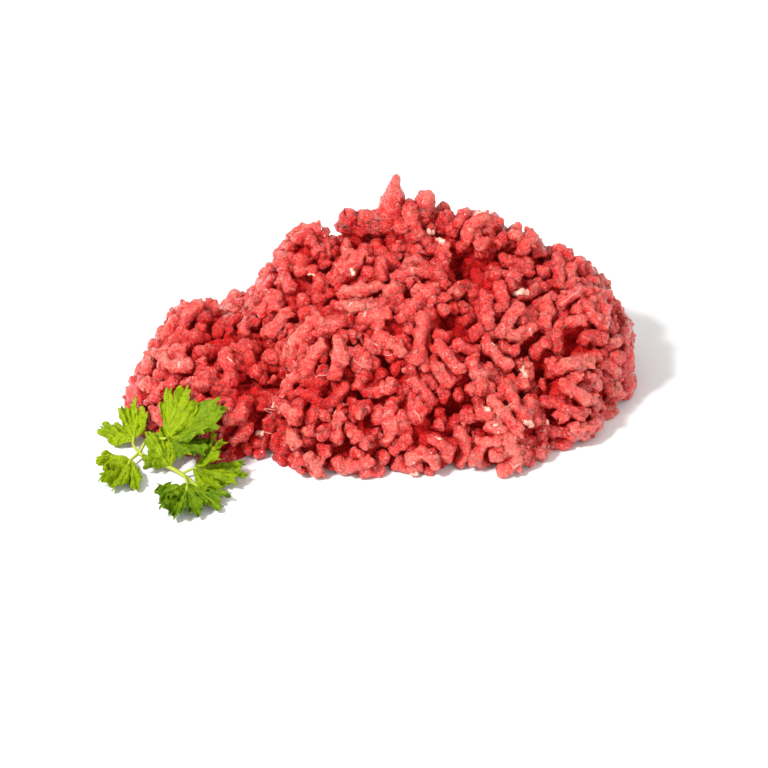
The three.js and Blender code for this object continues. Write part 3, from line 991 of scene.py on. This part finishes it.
stems = {  # points and radius in mm
    "main": ((-57, -60, 1.6), (-65, -50, 2.2), (-78, -40, 2.4), 0.65),
    "toUpperLeaf": ((-78, -40, 2.4), (-75.5, -37, 5.5), (-69, -41, 8.6), 0.5),
    "toLeftLeaf": ((-78, -40, 2.4), (-80, -36, 3), (-80, -31, 3.5), 0.45),
    "toLowLeftLeaf": ((-78, -40, 2.4), (-80, -43, 2.4), (-81, -46, 2.4), 0.45),
    "toRightLeaf": ((-64, -51, 2.2), (-60, -50, 3.4), (-56, -51, 4), 0.45),
    "toFrontLeaf": ((-63, -52, 2.2), (-62, -57, 3), (-62, -62, 2.6), 0.45),
}
leaflets = {  # foot, tip, half spread in degrees, darkness
    "upperTop": ((-68.5, -41, 8.6), (-62, -33, 23), 40, 0.15),
    "upperRight": ((-68, -41.4, 8.6), (-49, -44, 19), 36, 0.6),
    "upperLow": ((-68, -41.8, 8.5), (-55, -51, 11), 34, 0.8),
    "leftTop": ((-80, -33, 3), (-78, -21, 10), 42, 0.05),
    "leftSide": ((-79, -34, 3), (-91, -27, 3), 32, 0.1),
    "lowLeftSide": ((-80, -43, 2.4), (-91, -47, 3), 36, 0.1),
    "lowLeftFront": ((-80, -43, 2.4), (-84, -60, 1.8), 36, 0.25),
    "middleTop": ((-68, -48, 2.4), (-70, -35, 10), 40, 0.3),
    "middleSide": ((-68, -47, 2.4), (-77, -46, 4), 36, 0.4),
    "rightTop": ((-60, -50, 3.4), (-50, -49, 13), 36, 0.3),
    "rightSide": ((-60, -50, 3.4), (-43, -54, 4), 28, 0.4),
    "rightFront": ((-60, -51, 3.4), (-51, -62, 2), 30, 0.4),
    "frontLeft": ((-62, -58, 3), (-71, -65, 3), 36, 0.8),
    "frontMiddle": ((-62, -59, 2.8), (-64, -76, 2.4), 36, 0.95),
    "frontRight": ((-62, -58, 2.8), (-51, -70, 2.6), 36, 0.8),
}
leafSettings = {
    "columns": 73,
    "rows": 20,
    "ruffle": 1.3,  # mm
    "curl": 0.9,
    "lobeRise": 1.3,
    "lobeDepth": 0.30,
    "toothDepth": 0.13,
    "clearOfMeat": 5.0,
    "clearOfFloor": 0.35,
    "bright": (0.255, 0.34, 0.001, 1),
    "dark": (0.075, 0.155, 0.001, 1),
    "vein": (0.34, 0.42, 0.02, 1),
    "veinHalf": 0.045,  # share of the half spread
    "patchScale": 380.0,  # per metre
    "fineScale": 1500.0,
    "fineBump": 0.0006,
    "finish": {
        "Roughness": 0.38,
        "Specular IOR Level": 0.12,
        "Subsurface Weight": 0.25,
        "Subsurface Radius": (0.5, 0.8, 0.1),
        "Subsurface Scale": 0.0008,
    },
}
leafSizes = {"Crinkle Scale": 560.0, "Crinkle Height": 0.0021, "Thickness": 0.00025, "Material": None}
stemSettings = {
    "sides": 10,
    "spacing": 0.0006,
    "relief": {"Lump Height": 0.0003, "Bead Height": 0.0, "Crumble Height": 0.0},
    "finish": {
        "Base Color": (0.36, 0.42, 0.03, 1),
        "Roughness": 0.4,
        "Subsurface Weight": 0.2,
        "Subsurface Radius": (0.6, 0.8, 0.2),
        "Subsurface Scale": 0.0008,
    },
}


def leafSurface(foot, tip, spread, random):
    foot, tip = np.array(foot, float), np.array(tip, float)
    along = tip - foot
    length = np.linalg.norm(along)
    along = along / length
    across = np.cross(along, (0, 0, 1))
    across = across / np.linalg.norm(across)
    up = np.cross(across, along)
    outwards, around = np.linspace(0.03, 1, leafSettings["rows"]), np.linspace(-1, 1, leafSettings["columns"])
    v, u = np.meshgrid(outwards, around)
    lobes = np.abs(np.cos(1.5 * np.pi * u)) ** 0.6
    teeth = np.abs(np.cos(7.5 * np.pi * u + random.uniform(-0.3, 0.3))) ** 0.7
    notch = leafSettings["lobeDepth"] * (1 - lobes) + leafSettings["toothDepth"] * (1 - teeth)
    sides = 0.24 * np.abs(u) ** 2.5
    reach = length * v * (1 - (notch + sides) * v**1.5)
    angle = math.radians(spread) * u
    phase = random.uniform(0, 6.3, 3)
    wave = leafSettings["ruffle"] * v**1.4 * np.sin(7.5 * u + phase[0])
    wave += leafSettings["curl"] * v**2.5 * np.sin(24 * u + phase[1]) + 0.5 * np.sin(5 * v + phase[2]) * v
    wave += leafSettings["lobeRise"] * v * (lobes - 0.5)
    points = (foot + (reach * np.cos(angle))[..., None] * along + (reach * np.sin(angle))[..., None] * across
              + wave[..., None] * up).reshape(-1, 3)
    distance = distanceToForm(points)
    short = np.maximum(leafSettings["clearOfMeat"] - distance, 0)
    points = points + outward(points) * short[:, None]
    low = leafSettings["clearOfFloor"]
    points[:, 2] = np.where(points[:, 2] < low, low + 0.25 * (low - points[:, 2]), points[:, 2])
    middles = np.min([np.abs(u - c) for c in (-0.667, 0, 0.667)], axis=0)
    vein = np.exp(-((middles / leafSettings["veinHalf"]) ** 2)) * (1.05 - v)
    return points, vein.ravel()


def leafTree():
    tree, given, outputs = newGeometryTree("parsley leaf", leafSizes)
    where = addNode(tree, "GeometryNodeInputPosition").outputs[0]
    normal = addNode(tree, "GeometryNodeInputNormal").outputs[0]
    crinkle = noiseAt(tree, where, given["Crinkle Scale"], Detail=1.0)
    rise = math2(tree, "MULTIPLY", math2(tree, "SUBTRACT", crinkle, 0.5), given["Crinkle Height"])
    offset = addNode(tree, "ShaderNodeVectorMath", {0: normal, "Scale": rise}, operation="SCALE").outputs[0]
    blade = addNode(tree, "GeometryNodeSetPosition", {
        "Geometry": given["Geometry"], "Offset": offset,
    }).outputs[0]
    under = addNode(tree, "GeometryNodeFlipFaces", {"Mesh": blade}).outputs[0]
    thick = addNode(tree, "GeometryNodeExtrudeMesh", {
        "Mesh": blade, "Offset Scale": given["Thickness"], "Individual": False,
    }, mode="FACES").outputs[0]
    both = tree.nodes.new("GeometryNodeJoinGeometry")
    tree.links.new(thick, both.inputs[0])
    tree.links.new(under, both.inputs[0])
    closed = addNode(tree, "GeometryNodeMergeByDistance", {"Geometry": both.outputs[0], "Distance": 1e-6})
    finishTree(tree, outputs, closed.outputs[0], given["Material"])
    return tree


def leafMaterial():
    material, tree, shader = newMaterial("parsley leaf", leafSettings["finish"])
    dark = addNode(tree, "ShaderNodeAttribute", attribute_name="dark").outputs["Fac"]
    vein = addNode(tree, "ShaderNodeAttribute", attribute_name="vein").outputs["Fac"]
    where = addNode(tree, "ShaderNodeTexCoord").outputs["Object"]
    patches = noiseAt(tree, where, leafSettings["patchScale"], Detail=4.0)
    patches = math2(tree, "MULTIPLY", math2(tree, "SUBTRACT", patches, 0.5), 1.6)
    darkness = math2(tree, "ADD", dark, patches, use_clamp=True)
    green = mixColors(tree, darkness, leafSettings["bright"], leafSettings["dark"])
    veined = mixColors(tree, math2(tree, "MULTIPLY", vein, 0.6), green, leafSettings["vein"])
    fine = noiseAt(tree, where, leafSettings["fineScale"], Detail=2.0)
    tree.links.new(veined, shader["Base Color"])
    tree.links.new(bumpOf(tree, fine, leafSettings["fineBump"]), shader["Normal"])
    return material


def makeParsley(strandNodes):
    random = np.random.default_rng(33)
    columns, rows = leafSettings["columns"], leafSettings["rows"]
    points, faces, dark, vein = [], [], [], []
    for number, (foot, tip, spread, darkness) in enumerate(leaflets.values()):
        spots, veins = leafSurface(foot, tip, spread, random)
        start = number * columns * rows
        for c in range(columns - 1):
            for r in range(rows - 1):
                a = start + c * rows + r
                faces += [(a, a + rows, a + 1), (a + 1, a + rows, a + rows + 1)]
        points.append(spots)
        vein.append(veins)
        dark += [darkness] * len(spots)
    leaves = newObject("parsley_leaves", np.vstack(points), faces=faces)
    giveAttribute(leaves, "dark", dark)
    giveAttribute(leaves, "vein", np.concatenate(vein))
    runTree(leaves, leafTree(), dict(leafSizes, Material=leafMaterial()))
    print("parsley_leaves faces", len(leaves.data.polygons))
    rows = [asRows(resample(np.array(path), 9), radius) for *path, radius in stems.values()]
    stem = newMaterial("parsley stem", stemSettings["finish"])[0]
    twigs = strandPiece("parsley_stems", rows, strandNodes, stem, random, stemSettings)
    return [leaves, twigs]


# Floor, light and world

studioSettings = {
    "floor": {"Base Color": (0.86, 0.86, 0.86, 1), "Roughness": 0.8},
    "floorHalf": 3000.0,  # mm
    "sky": 0.81,
    "keyPower": 20.8,
    "keySize": 0.2,
    "keyFrom": (-0.7, -0.55, 1.0),
    "fillPower": 5.0,
    "fillSize": 1.0,
    "fillFrom": (0.6, -1.1, 0.5),
}


def areaLight(name, place, power, size):
    data = bpy.data.lights.new(name, "AREA")
    data.energy = power
    data.size = size
    light = bpy.data.objects.new(name, data)
    light.location = place
    light.rotation_euler = Vector(place).to_track_quat("Z", "Y").to_euler()
    bpy.context.collection.objects.link(light)


def makeStudio():
    bpy.context.scene.view_settings.view_transform = "Standard"
    world = bpy.data.worlds.new("studio")
    world.use_nodes = True
    sky = world.node_tree.nodes["Background"].inputs
    sky["Color"].default_value = (1, 1, 1, 1)
    sky["Strength"].default_value = studioSettings["sky"]
    bpy.context.scene.world = world
    areaLight("key", studioSettings["keyFrom"], studioSettings["keyPower"], studioSettings["keySize"])
    areaLight("fill", studioSettings["fillFrom"], studioSettings["fillPower"], studioSettings["fillSize"])
    half = studioSettings["floorHalf"]
    corners = [(-half, -half, 0), (half, -half, 0), (half, half, 0), (-half, half, 0)]
    floor = newObject("floor", corners, faces=[(0, 1, 2, 3)])
    floor.data.materials.append(newMaterial("floor", studioSettings["floor"])[0])


makeCamera()
makeStudio()
core = makeCore()
strandNodes = strandTree()
strands = makeStrands(strandNodes)
crumbs = makeCrumbs([strands[0], *strands[2:6]])
fat = makeFat(strands[:6], strandNodes)
parsley = makeParsley(strandNodes)
for node, slot, pieces in (("minced_meat", "minced_meat", [core, *strands, crumbs, *fat]),
                           ("parsley_sprig", "parsley", parsley)):
    for piece in pieces:
        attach(piece, "root")
        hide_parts(node)
